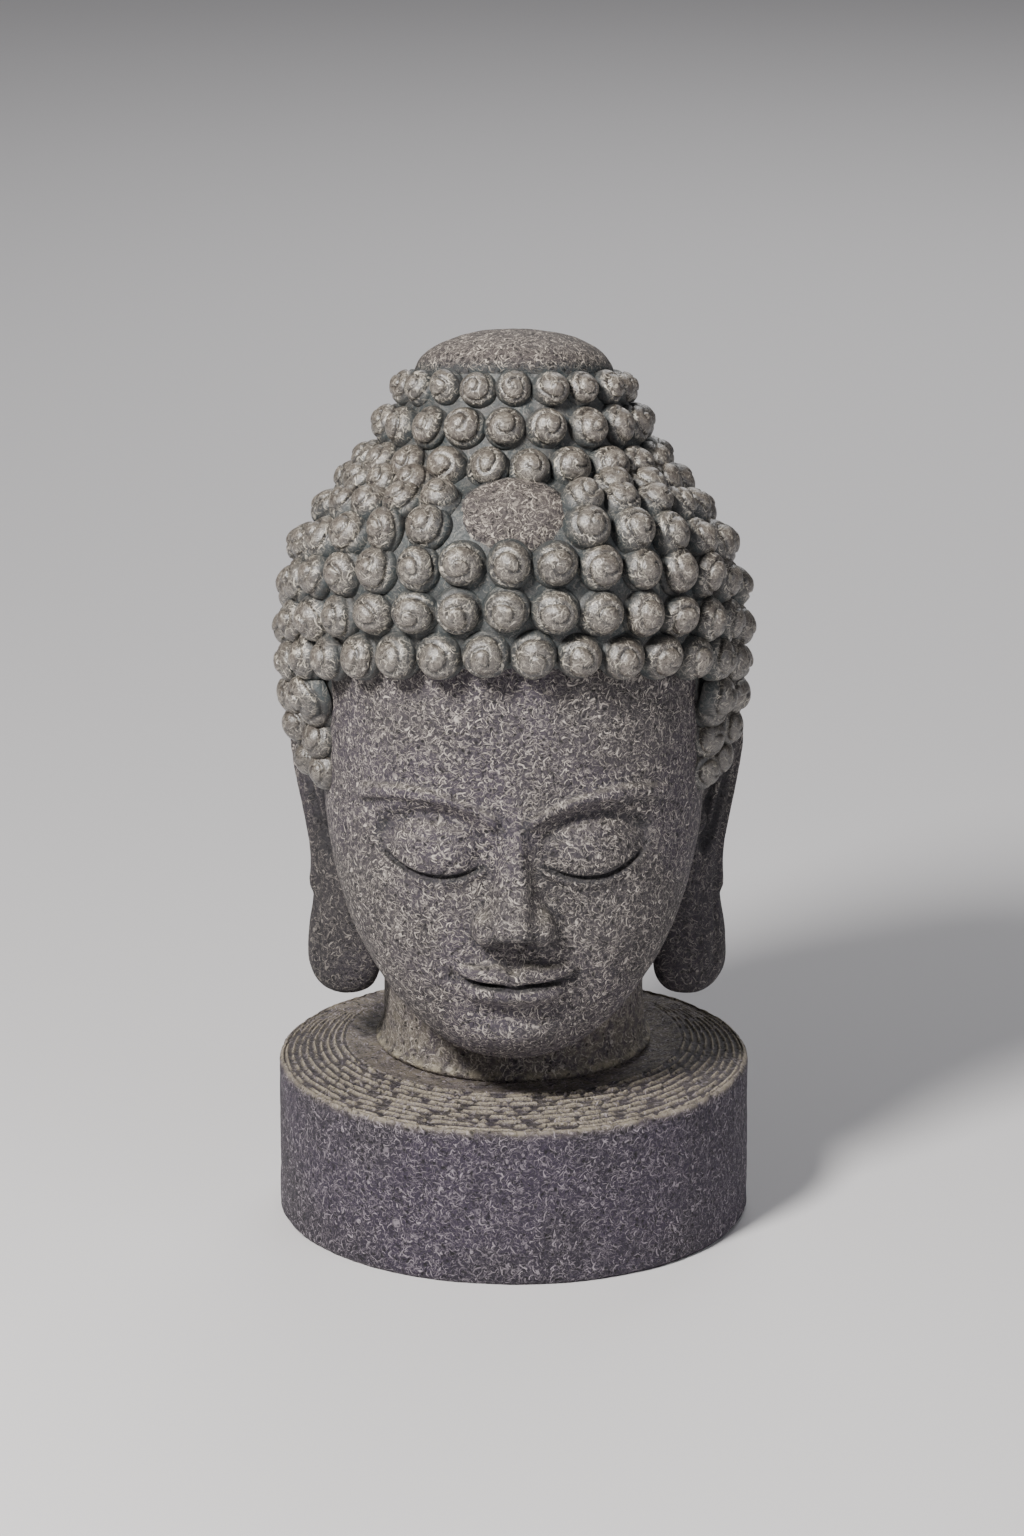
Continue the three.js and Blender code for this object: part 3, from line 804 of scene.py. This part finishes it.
def build_head(material):
    """Face, skull, ears and neck as one skin, finest over the face."""
    fine = HEAD_GRID
    xs = graded((-52, 52, fine))
    ys = graded((-57, -20, fine), (-20, 15, fine * 1.4), (15, 46, fine * 3))
    zs = graded((33, 45, fine * 1.8), (45, 112, fine), (112, 137, fine * 1.5), (137, 150.5, fine * 3))
    points, quads = surface_net(sample(head_field, xs, ys, zs), xs, ys, zs)
    points = settle(head_field, points)
    points = lerp(points, relax(points, quads), 0.5)
    points = settle(head_field, points)
    normals = unit(gradient(head_field, points, 0.3))
    # An occlusion-like measure of the hollows: it drives patina with painted shade in them (cavity),
    # and lighter wear with painted light away from them (wear).
    hollow = np.zeros(len(points))
    for reach, weight in HOLLOW_PROBES:
        ahead = head_field(*(points + normals * reach).T)
        hollow = hollow + weight * np.clip(1 - ahead / reach, 0, 1)
    lumps = 0.10 * noise(points, 6, 21) + 0.06 * noise(points, 2.2, 22)
    points = points + normals * lumps[:, None]
    wear = np.clip(0.5 - hollow, 0, 1)
    crust = 0.45 * bell(points[:, 2], PLINTH_TOP + 0.3, 0.7)
    # Painted shade with soot: the lower ears and the skin right beside them are darkened (low_ear).
    low_ear = 1 - smoothstep(np.abs(ear(*points.T)), 0.3, 1.3)
    low_ear = low_ear * (1 - smoothstep(points[:, 2], 88, 108))
    # foot lightens the lower neck, most at its sides and back, with the pale crust colour.
    foot = smoothstep(points[:, 1], -30, -8) * (1 - smoothstep(points[:, 2], 40, 62))
    foot = foot * (1 - low_ear)
    masks = {
        "cavity": np.clip(hollow, 0, 1),
        "wear": wear,
        "crust": crust + 0.3 * foot,
        "soot_and_painted_shade": low_ear,
    }
    make_piece("head_and_neck", points, [quads], masks, material, "head", "carved_stone")


# ---- plinth ----------------------------------------------------------------------------------

MOAT_RADIUS = 37.0
MOAT_Y = 11.3
MOAT_SHARE = 0.34
MOAT_DEPTH = 0.8
TOOL_RINGS = 9
PLINTH_FOOT_BEVEL = 0.8
PLINTH_COLUMNS = 480
TOP_RINGS = 112
SIDE_RINGS = 34


def build_plinth(material):
    """A turned drum whose top carries broken rings of tool marks and a shallow moat."""
    turn = np.linspace(-math.pi, math.pi, PLINTH_COLUMNS, endpoint=False)[None, :]
    flat_radius = PLINTH_RADIUS - PLINTH_RIM
    across = np.linspace(0, 1, TOP_RINGS)[:, None]
    inner = 0.9 * NECK_RADIUS
    in_moat = across < MOAT_SHARE
    share = np.where(in_moat, across / MOAT_SHARE, 1)
    outer = np.clip((across - MOAT_SHARE) / (1 - MOAT_SHARE), 0, 1)
    beyond_moat = lerp(MOAT_RADIUS, flat_radius, outer)
    radius = np.where(in_moat, lerp(inner, MOAT_RADIUS, share), beyond_moat)
    middle = np.where(in_moat, lerp(NECK_AXIS_Y, MOAT_Y, share), lerp(MOAT_Y, 0, outer))
    x = radius * np.sin(turn)
    y = middle - radius * np.cos(turn)
    ring = outer * TOOL_RINGS
    number = np.floor(ring)
    pitch = (MOAT_Y * np.cos(turn) - (MOAT_RADIUS - flat_radius)) / TOOL_RINGS
    seen = smoothstep(pitch, 0.5, 1.3) * (outer > 0)
    stroke = stack(turn * 40 + 3.7 * number, 9.1 * number, 0 * turn)
    broken = smoothstep(noise(stroke, 1.7, 41) + 0.5 * noise(stroke, 0.8, 42), -0.50, -0.22)
    waver = 0.5 + 0.12 * noise(stroke, 5.0, 40)
    ridge = bell(ring - number, waver, 0.15) * broken * seen
    bank = 1.2 * bell(ring - number, waver, 0.24) * (0.25 + 0.75 * broken)
    trench = np.clip(1 - bank, 0, 1) * (outer > 0)
    scoop = MOAT_DEPTH * np.sin(np.clip(share * 1.05, 0, 1) * math.pi) ** 0.8 * in_moat
    z = PLINTH_TOP - 0.45 + 0.42 * ridge - 0.25 * trench * seen - scoop
    top = stack(x, y, z).reshape(-1, 3)
    top[:, 2] += 0.12 * noise(top, 3.0, 43) + 0.08 * noise(top, 1.2, 44)
    edge_steps = 6
    side_steps = np.concatenate([
        np.linspace(0, 0.5 * math.pi, edge_steps, endpoint=False)[1:],
        np.full(SIDE_RINGS, 0.5 * math.pi),
    ])[:, None]
    drop = np.concatenate([np.zeros(edge_steps - 1), np.linspace(0, 1, SIDE_RINGS)])[:, None]
    wall = PLINTH_TOP - PLINTH_RIM
    lean = np.minimum((1 - drop) * wall, PLINTH_FOOT_BEVEL)
    reach = flat_radius + PLINTH_RIM * np.sin(side_steps) - (PLINTH_FOOT_BEVEL - lean)
    level = wall + PLINTH_RIM * np.cos(side_steps) - drop * wall
    side = stack(reach * np.sin(turn), -reach * np.cos(turn), level).reshape(-1, 3)
    out = stack(np.sin(turn), -np.cos(turn), 0 * level).reshape(-1, 3)
    rough = -0.3 + 0.14 * noise(side, 5, 45) + 0.1 * noise(side, 1.7, 46)
    nick = stack(turn * 60, 0 * level, 0 * level).reshape(-1, 3)
    near_edge = bell(level, PLINTH_TOP - 0.3, 0.7) + 0 * turn
    rough = rough - 0.3 * near_edge.ravel() * smoothstep(noise(nick, 1.3, 47), 0.1, 0.6)
    side = side + out * rough[:, None]
    side[:, 2] = np.maximum(side[:, 2], 0)
    points = np.concatenate([top, side])
    rows = TOP_RINGS + edge_steps - 1 + SIDE_RINGS
    faces = [
        grid_faces(rows, PLINTH_COLUMNS)[:, ::-1],
        np.arange(PLINTH_COLUMNS)[None, :],
        np.arange(len(points) - PLINTH_COLUMNS, len(points))[None, ::-1],
    ]
    # Patina with painted shade in the trenches between the tool marks and in a ring round the neck's
    # foot in the moat.
    groove = np.clip(trench * seen * 0.7 + bell(share, 0.1, 0.14) * in_moat, 0, 1)
    crust = 0.4 * smoothstep(outer, 0.97, 1) + 0 * x
    none = np.zeros(len(side))
    masks = {
        "cavity": np.concatenate([groove.ravel(), none]),
        "wear": np.concatenate([(ridge + 0 * x).ravel(), none]),
        "crust": np.concatenate([crust.ravel(), 0.4 * near_edge.ravel()]),
    }
    make_piece("plinth_drum", points, faces, masks, material, "plinth", "plinth_stone")


# ---- materials -------------------------------------------------------------------------------


class Graph:
    """Short names for the nodes of one material."""

    def __init__(self, name):
        self.material = bpy.data.materials.new(name)
        self.material.use_nodes = True
        self.tree = self.material.node_tree
        self.tree.nodes.clear()

    def put(self, socket, value):
        if isinstance(value, bpy.types.NodeSocket):
            self.tree.links.new(value, socket)
        elif value is not None:
            socket.default_value = value

    def node(self, kind, **settings):
        node = self.tree.nodes.new(kind)
        for key, value in settings.items():
            setattr(node, key, value)
        return node

    def math(self, operation, a, b=None, c=None, clamp=False):
        node = self.node("ShaderNodeMath", operation=operation, use_clamp=clamp)
        for socket, value in zip(node.inputs, (a, b, c)):
            self.put(socket, value)
        return node.outputs[0]

    def times(self, a, b):
        return self.math("MULTIPLY", a, b)

    def vector(self, operation, a, b=None, scale=None):
        node = self.node("ShaderNodeVectorMath", operation=operation)
        self.put(node.inputs[0], a)
        self.put(node.inputs[1], b)
        if scale is not None:
            self.put(node.inputs["Scale"], scale)
        return node.outputs["Value"] if operation in ("LENGTH", "DOT_PRODUCT") else node.outputs[0]

    def ramp(self, value, low, high, to_low=0.0, to_high=1.0):
        node = self.node("ShaderNodeMapRange", interpolation_type="SMOOTHSTEP")
        keys = ("Value", "From Min", "From Max", "To Min", "To Max")
        for key, entry in zip(keys, (value, low, high, to_low, to_high)):
            self.put(node.inputs[key], entry)
        return node.outputs["Result"]

    def mix(self, factor, a, b):
        node = self.node("ShaderNodeMix", data_type="RGBA")
        self.put(node.inputs["Factor"], factor)
        self.put(node.inputs["A"], (*a, 1) if isinstance(a, tuple) else a)
        self.put(node.inputs["B"], (*b, 1) if isinstance(b, tuple) else b)
        return node.outputs["Result"]

    def noise(self, place, scale, detail=2.0, roughness=0.5, output="Fac"):
        node = self.node("ShaderNodeTexNoise")
        self.put(node.inputs["Vector"], place)
        self.put(node.inputs["Scale"], scale)
        self.put(node.inputs["Detail"], detail)
        self.put(node.inputs["Roughness"], roughness)
        return node.outputs[output]

    def attribute(self, name):
        return self.node("ShaderNodeAttribute", attribute_name=name).outputs["Fac"]

    def surface(self, shader):
        output = self.node("ShaderNodeOutputMaterial")
        self.tree.links.new(shader.outputs[0], output.inputs["Surface"])
        return self.material


def arc_strokes(graph, place, size, width, bend):
    """Short bent strokes: thin curved shells, one to a cell, cut by the surface."""
    cells = graph.node("ShaderNodeTexVoronoi", feature="F1")
    graph.put(cells.inputs["Vector"], place)
    graph.put(cells.inputs["Scale"], 1 / size)
    graph.put(cells.inputs["Randomness"], 1.0)
    offset = graph.vector("SUBTRACT", place, cells.outputs["Position"])
    centred = graph.vector("SUBTRACT", cells.outputs["Color"], (0.5, 0.5, 0.5))
    direction = graph.vector("NORMALIZE", centred)
    pushed = graph.vector("SCALE", direction, scale=bend)
    reach = graph.vector("LENGTH", graph.vector("SUBTRACT", offset, pushed))
    off = graph.math("ABSOLUTE", graph.math("SUBTRACT", reach, bend))
    line = graph.ramp(off, width * 0.4, width, 1.0, 0.0)
    ends = graph.ramp(graph.vector("LENGTH", offset), size * 0.36, size * 0.54, 1.0, 0.0)
    separate = graph.node("ShaderNodeSeparateColor")
    graph.put(separate.inputs[0], cells.outputs["Color"])
    strength = graph.ramp(separate.outputs[0], 0.1, 0.9, 0.15, 1.0)
    return graph.times(graph.times(line, ends), strength)


def threads(graph, place, scale, width):
    """Winding lines where a noise crosses its middle, broken up by a second noise."""
    winding = graph.noise(place, scale, 1.0, 0.4)
    off = graph.math("ABSOLUTE", graph.math("SUBTRACT", winding, 0.5))
    line = graph.ramp(off, width * 0.3, width, 1.0, 0.0)
    breaks = graph.noise(graph.vector("ADD", place, (41, 17, 29)), scale * 0.9, 1.0, 0.5)
    return graph.times(line, graph.ramp(breaks, 0.42, 0.62))


def shade(colour, share):
    return tuple(share * part for part in colour)


# Further layers of strokes: shift of the pattern, then size, width and bend in mm.
STROKES = (((7.3, 1.9, 4.4), 1.6, 0.12, 1.2), ((2.2, 9.1, 6.7), 1.2, 0.10, 0.8))
# Layers of threads: shift, scale, width and strength.
THREADS = (
    ((0, 0, 0), 0.6, 0.022, 0.6),
    ((13, 5, 8), 0.9, 0.034, 0.5),
    ((27, 11, 2), 1.2, 0.045, 0.4),
)


def stone(
    name,
    dark,
    light,
    fleck,
    patina_and_shade,
    dust_and_top_light,
    crust=(0.34, 0.30, 0.21),
    tinge=(0.062, 0.047, 0.078),
    polish_and_highlight=None,
    fleck_share=0.85,
    highlight_and_wear_share=0.5,
    gloss=0.0,
    ridged=0.0,
    relief=0.8,
    broken=1.0,
):
    """Fine-grained stone with pale bent flecks, dark pits, patina with painted shade in hollows, dust
    with painted top light on ledges, and wear with a painted highlight on raised parts.
    """
    graph = Graph(name)
    polish_and_highlight = polish_and_highlight or light
    coordinates = graph.node("ShaderNodeTexCoord")
    place = graph.vector("SCALE", coordinates.outputs["Object"], scale=1 / MM)
    drift = graph.noise(place, 0.45, 1.0, output="Color")
    drift = graph.vector("SCALE", graph.vector("SUBTRACT", drift, (0.5, 0.5, 0.5)), scale=1.6)
    bent = graph.vector("ADD", place, drift)

    flecks = arc_strokes(graph, bent, 2.2, 0.14, 2.0)
    for shift, size, width, bend in STROKES:
        layer = arc_strokes(graph, graph.vector("ADD", bent, shift), size, width, bend)
        flecks = graph.math("MAXIMUM", flecks, layer)
    for shift, scale, width, share in THREADS:
        lines = threads(graph, graph.vector("ADD", bent, shift), scale, width)
        flecks = graph.math("MAXIMUM", flecks, graph.times(lines, share))
    cracks = threads(graph, graph.vector("ADD", bent, (3, 31, 12)), 0.8, 0.04)
    cracks = graph.times(cracks, broken)

    pits = graph.node("ShaderNodeTexVoronoi", feature="F1")
    graph.put(pits.inputs["Vector"], graph.vector("ADD", bent, (3, 8, 2)))
    graph.put(pits.inputs["Scale"], 1 / 1.5)
    pit_pick = graph.node("ShaderNodeSeparateColor")
    graph.put(pit_pick.inputs[0], pits.outputs["Color"])
    holes = graph.ramp(pits.outputs["Distance"], 0.12, 0.34, 1.0, 0.0)
    holes = graph.times(holes, graph.ramp(pit_pick.outputs[1], 0.35, 0.6, 0.0, broken))

    mottle = graph.noise(place, 0.055, 4.0, 0.6)
    grain = graph.noise(place, 2.2, 3.0, 0.65)
    clouds = graph.noise(place, 0.33, 3.0, 0.6)
    body = graph.ramp(mottle, 0.35, 0.65, 0.0, 0.35)
    body = graph.math("ADD", body, graph.ramp(clouds, 0.34, 0.66, 0.0, 0.22))
    body = graph.math("ADD", body, graph.ramp(grain, 0.40, 0.60, 0.0, 0.7), clamp=True)
    colour = graph.mix(body, dark, light)
    patches = graph.noise(graph.vector("ADD", place, (90, 40, 70)), 0.03, 2.0)
    tinged = graph.ramp(patches, 0.4, 0.6)
    tinged = graph.times(tinged, graph.ramp(grain, 0.35, 0.6, 0.2, 0.6))
    colour = graph.mix(tinged, colour, tinge)

    cavity = graph.attribute("cavity")
    wear = graph.attribute("wear")
    # Patina with painted shade: hollows are darkened towards the patina colour by the cavity mask.
    patina_and_shade_share = graph.math("MULTIPLY", cavity, graph.ramp(clouds, 0.30, 0.62, 0.35, 1.0), clamp=True)
    colour = graph.mix(patina_and_shade_share, colour, patina_and_shade)
    normal = graph.node("ShaderNodeNewGeometry").outputs["Normal"]
    # Dust with painted top light: up-facing surfaces turn lighter and warmer, less so in hollows.
    facing_up = graph.vector("DOT_PRODUCT", normal, (0, 0, 1))
    dust_and_top_light_share = graph.ramp(facing_up, 0.35, 0.95)
    dust_and_top_light_share = graph.times(dust_and_top_light_share, graph.ramp(clouds, 0.32, 0.6, 0.25, 0.8))
    dust_and_top_light_share = graph.times(dust_and_top_light_share, graph.ramp(cavity, 0.15, 0.8, 1.0, 0.1))
    colour = graph.mix(dust_and_top_light_share, colour, dust_and_top_light)
    # Wear with a painted highlight: the wear mask lightens crowns and raised parts towards the
    # polished colour.
    worn_and_highlit = graph.times(wear, graph.ramp(grain, 0.32, 0.66, 0.35 * highlight_and_wear_share, highlight_and_wear_share))
    colour = graph.mix(worn_and_highlit, colour, polish_and_highlight)
    # Painted shade: the curls' spiral grooves are darkened.
    groove = graph.times(graph.attribute("groove"), 0.75)
    colour = graph.mix(groove, colour, shade(dark, 0.5))
    colour = graph.mix(graph.times(cracks, 0.85), colour, shade(dark, 0.3))
    strength = graph.ramp(clouds, 0.34, 0.62, 0.65 * fleck_share, fleck_share)
    shown = graph.times(flecks, strength)
    shown = graph.times(shown, graph.ramp(cavity, 0.3, 1.0, 1.0, 0.22))
    shown = graph.times(shown, graph.ramp(wear, 0.05, 0.6, 1.0, 1.0 - 0.55 * gloss))
    colour = graph.mix(shown, colour, fleck)
    if ridged:
        stroke = graph.times(wear, graph.ramp(grain, 0.36, 0.62, 0.15 * ridged, ridged))
        colour = graph.mix(stroke, colour, crust)
    crusted = graph.times(graph.attribute("crust"), graph.ramp(clouds, 0.35, 0.6, 0.15, 0.9))
    colour = graph.mix(crusted, colour, crust)
    colour = graph.mix(graph.times(holes, 0.85), colour, shade(dark, 0.25))
    # Painted shade with soot: the soot mask darkens towards the dark colour.
    colour = graph.mix(graph.times(graph.attribute("soot_and_painted_shade"), 0.6), colour, dark)

    height = graph.math("MULTIPLY_ADD", grain, 0.5, graph.times(clouds, 0.25))
    height = graph.math("MULTIPLY_ADD", flecks, 0.12, height)
    sunk = graph.times(graph.math("MAXIMUM", holes, cracks), 0.25)
    height = graph.math("SUBTRACT", height, sunk)
    bump = graph.node("ShaderNodeBump")
    graph.put(bump.inputs["Height"], height)
    bump.inputs["Distance"].default_value = MM
    bump.inputs["Strength"].default_value = relief

    shader = graph.node("ShaderNodeBsdfPrincipled")
    graph.put(shader.inputs["Base Color"], colour)
    rough = graph.ramp(grain, 0.3, 0.7, 0.62, 0.86)
    smoothed = graph.times(graph.ramp(cavity, 0.1, 0.9, 1.0, 0.2), 0.6 * gloss)
    graph.put(shader.inputs["Roughness"], graph.math("SUBTRACT", rough, smoothed))
    shader.inputs["Specular IOR Level"].default_value = 0.45 + 0.75 * gloss
    graph.put(shader.inputs["Normal"], bump.outputs["Normal"])
    return graph.surface(shader)


face_stone = stone(
    "face_stone",
    dark=(0.010, 0.0085, 0.011),
    light=(0.063, 0.0545, 0.0585),
    fleck=(0.62, 0.559, 0.498),
    patina_and_shade=(0.022, 0.022, 0.026),
    dust_and_top_light=(0.15, 0.135, 0.11),
)
hair_stone = stone(
    "hair_stone",
    dark=(0.015, 0.012, 0.012),
    light=(0.066, 0.055, 0.049),
    fleck=(0.60, 0.55, 0.46),
    patina_and_shade=(0.014, 0.022, 0.025),
    dust_and_top_light=(0.085, 0.073, 0.060),
    polish_and_highlight=(0.150, 0.127, 0.105),
    tinge=(0.030, 0.038, 0.042),
    fleck_share=0.95,
    gloss=0.62,
    highlight_and_wear_share=0.75,
    relief=0.3,
    broken=0.3,
)
crown_stone = stone(
    "crown_stone",
    dark=(0.013, 0.010, 0.012),
    light=(0.083, 0.070, 0.061),
    fleck=(0.62, 0.55, 0.47),
    patina_and_shade=(0.026, 0.036, 0.040),
    dust_and_top_light=(0.085, 0.071, 0.066),
    relief=0.7,
    tinge=(0.054, 0.045, 0.052),
)
drum_stone = stone(
    "drum_stone",
    dark=(0.007, 0.0055, 0.0095),
    light=(0.030, 0.0235, 0.0365),
    fleck=(0.37, 0.326, 0.361),
    patina_and_shade=(0.014, 0.012, 0.011),
    dust_and_top_light=(0.168, 0.144, 0.107),
    crust=(0.48, 0.42, 0.31),
    tinge=(0.040, 0.028, 0.054),
    ridged=0.95,
)

# ---- pieces ----------------------------------------------------------------------------------

build_head(face_stone)
build_scalp(hair_stone)
build_hair(hair_stone)
build_cap(crown_stone)
build_boss(crown_stone)
build_plinth(drum_stone)

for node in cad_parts.values():
    node.data.materials.clear()
    node.data.materials.append(drum_stone if node.name == "plinth" else face_stone)

# ---- stage -----------------------------------------------------------------------------------


FLOOR_HALF = 6.0
FLOOR_COLOUR = (0.66, 0.65, 0.66, 1)
WORLD_COLOUR = (0.93, 0.93, 1.0, 1)
WORLD_STRENGTH = 0.12
LIT_POINT = (0, 0, 0.1)
# Each lamp's name, place, diameter, watts and colour.
LAMPS = [
    ("key", (-0.36, -0.55, 0.68), 0.2, 15.5, (1.0, 0.975, 0.94)),
    ("fill", (0.9, -0.8, 0.5), 0.8, 3.5, (0.96, 0.96, 1.0)),
    ("back", (0.2, 0.9, 0.8), 0.7, 5, (1.0, 1.0, 1.0)),
]


def build_stage():
    """A plain pale floor."""
    pale = Graph("pale_floor")
    shader = pale.node("ShaderNodeBsdfPrincipled")
    shader.inputs["Base Color"].default_value = FLOOR_COLOUR
    shader.inputs["Roughness"].default_value = 0.9
    mesh = bpy.data.meshes.new("floor")
    signs = ((-1, -1), (1, -1), (1, 1), (-1, 1))
    mesh.from_pydata([(a * FLOOR_HALF, b * FLOOR_HALF, 0) for a, b in signs], [], [(0, 1, 2, 3)])
    mesh.materials.append(pale.surface(shader))
    floor = bpy.data.objects.new("floor", mesh)
    bpy.context.scene.collection.objects.link(floor)


def add_lamp(name, place, size, power, colour):
    """A round lamp that shines at LIT_POINT."""
    lamp = bpy.data.lights.new(name, "AREA")
    lamp.shape = "DISK"
    lamp.size = size
    lamp.energy = power
    lamp.color = colour
    item = bpy.data.objects.new(name, lamp)
    bpy.context.scene.collection.objects.link(item)
    item.location = place
    direction = np.subtract(LIT_POINT, place)
    item.rotation_euler = (
        math.atan2(math.hypot(direction[0], direction[1]), -direction[2]),
        0,
        math.atan2(direction[1], direction[0]) - 0.5 * math.pi,
    )


def light_scene():
    """Soft studio light from the left, with a fill, a back light and a dim world."""
    world = bpy.data.worlds.new("studio")
    world.use_nodes = True
    background = world.node_tree.nodes["Background"]
    background.inputs["Color"].default_value = WORLD_COLOUR
    background.inputs["Strength"].default_value = WORLD_STRENGTH
    bpy.context.scene.world = world
    for lamp in LAMPS:
        add_lamp(*lamp)


CAMERA_ELEVATION = math.radians(17.4946)
CAMERA_DISTANCE = 1.6
CAMERA_X = -0.00035
CAMERA_RAISE = 0.0004
FOCAL_PIXELS = 7398.3
FRAME_HEIGHT_PIXELS = 1536


def add_camera():
    """The photo's viewpoint: lens and elevation come from a fit to the plinth's two rims."""
    data = bpy.data.cameras.new("camera")
    data.sensor_width = 36
    data.lens = FOCAL_PIXELS * data.sensor_width / FRAME_HEIGHT_PIXELS
    data.clip_end = 50
    camera = bpy.data.objects.new("camera", data)
    bpy.context.scene.collection.objects.link(camera)
    middle = 0.5 * (cad_box[0][2] + cad_box[1][2]) + CAMERA_RAISE
    camera.location = (
        CAMERA_X,
        -CAMERA_DISTANCE * math.cos(CAMERA_ELEVATION),
        middle + CAMERA_DISTANCE * math.sin(CAMERA_ELEVATION),
    )
    camera.rotation_euler = (0.5 * math.pi - CAMERA_ELEVATION, 0, 0)
    bpy.context.scene.camera = camera


build_stage()
light_scene()
add_camera()
